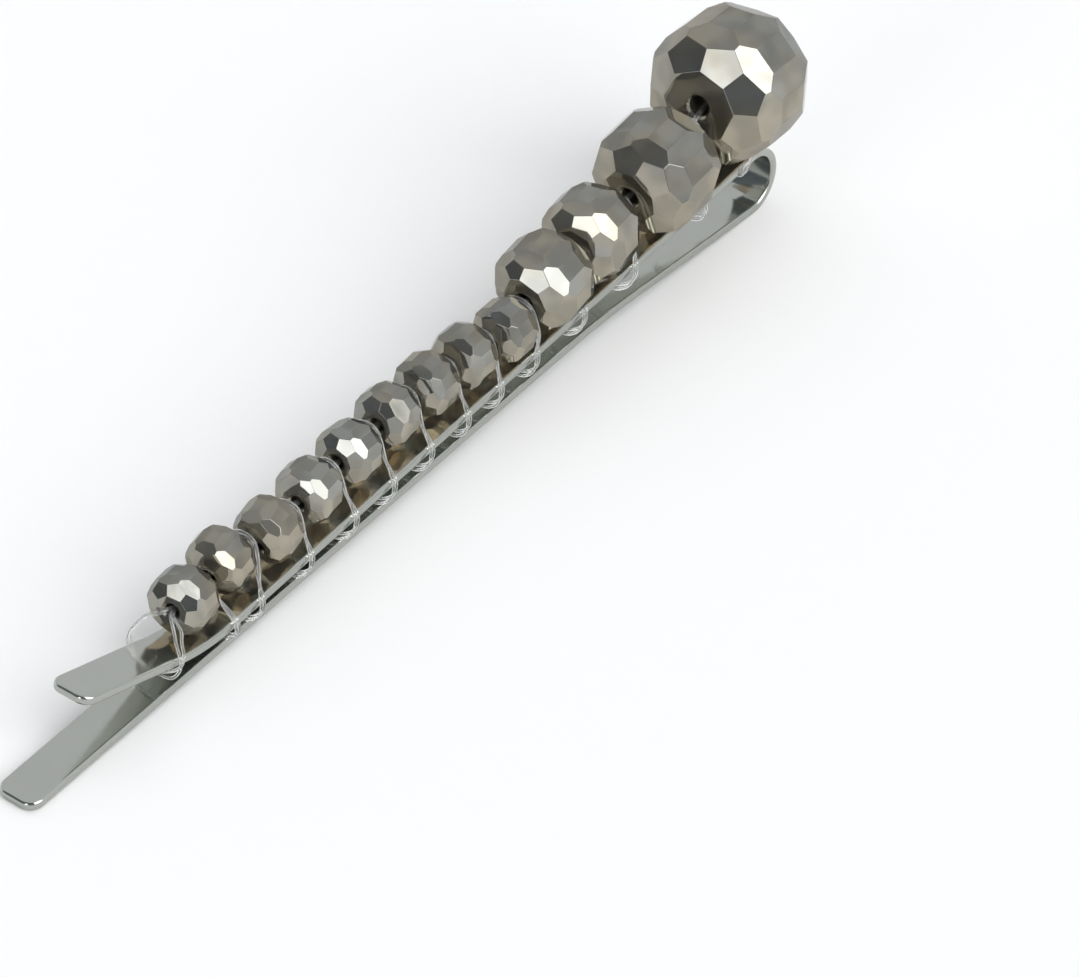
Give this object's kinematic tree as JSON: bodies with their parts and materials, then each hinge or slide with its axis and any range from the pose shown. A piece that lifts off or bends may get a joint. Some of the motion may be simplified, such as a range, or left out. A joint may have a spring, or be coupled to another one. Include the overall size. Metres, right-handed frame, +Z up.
{
  "type": "beaded hair slide",
  "caption": "Springy metal hair slide bent from one flat strip, with a tapering row of faceted glass beads threaded along its upper leg.",
  "frame": {"origin": "under the middle of the slide's length and width, on the surface that it rests on", "axes": "+X along the slide from its fold to its tips, +Z up, with the beads on top"},
  "size_m": [0.071, 0.01, 0.015],
  "materials": {
    "strip_metal": "bright nickel plate on spring steel, lightly scuffed",
    "coated_glass": "cut glass with an opaque mirror-like grey coating",
    "clear_line": "clear nylon line"
  },
  "bodies": {
    "root": {"pin": "strip_metal", "thread": "clear_line", "bead_01": "coated_glass", "bead_02": "coated_glass", "bead_03": "coated_glass", "bead_04": "coated_glass", "bead_05": "coated_glass", "bead_06": "coated_glass", "bead_07": "coated_glass", "bead_08": "coated_glass", "bead_09": "coated_glass", "bead_10": "coated_glass", "bead_11": "coated_glass", "bead_12": "coated_glass", "bead_13": "coated_glass"}
  },
  "joints": []
}
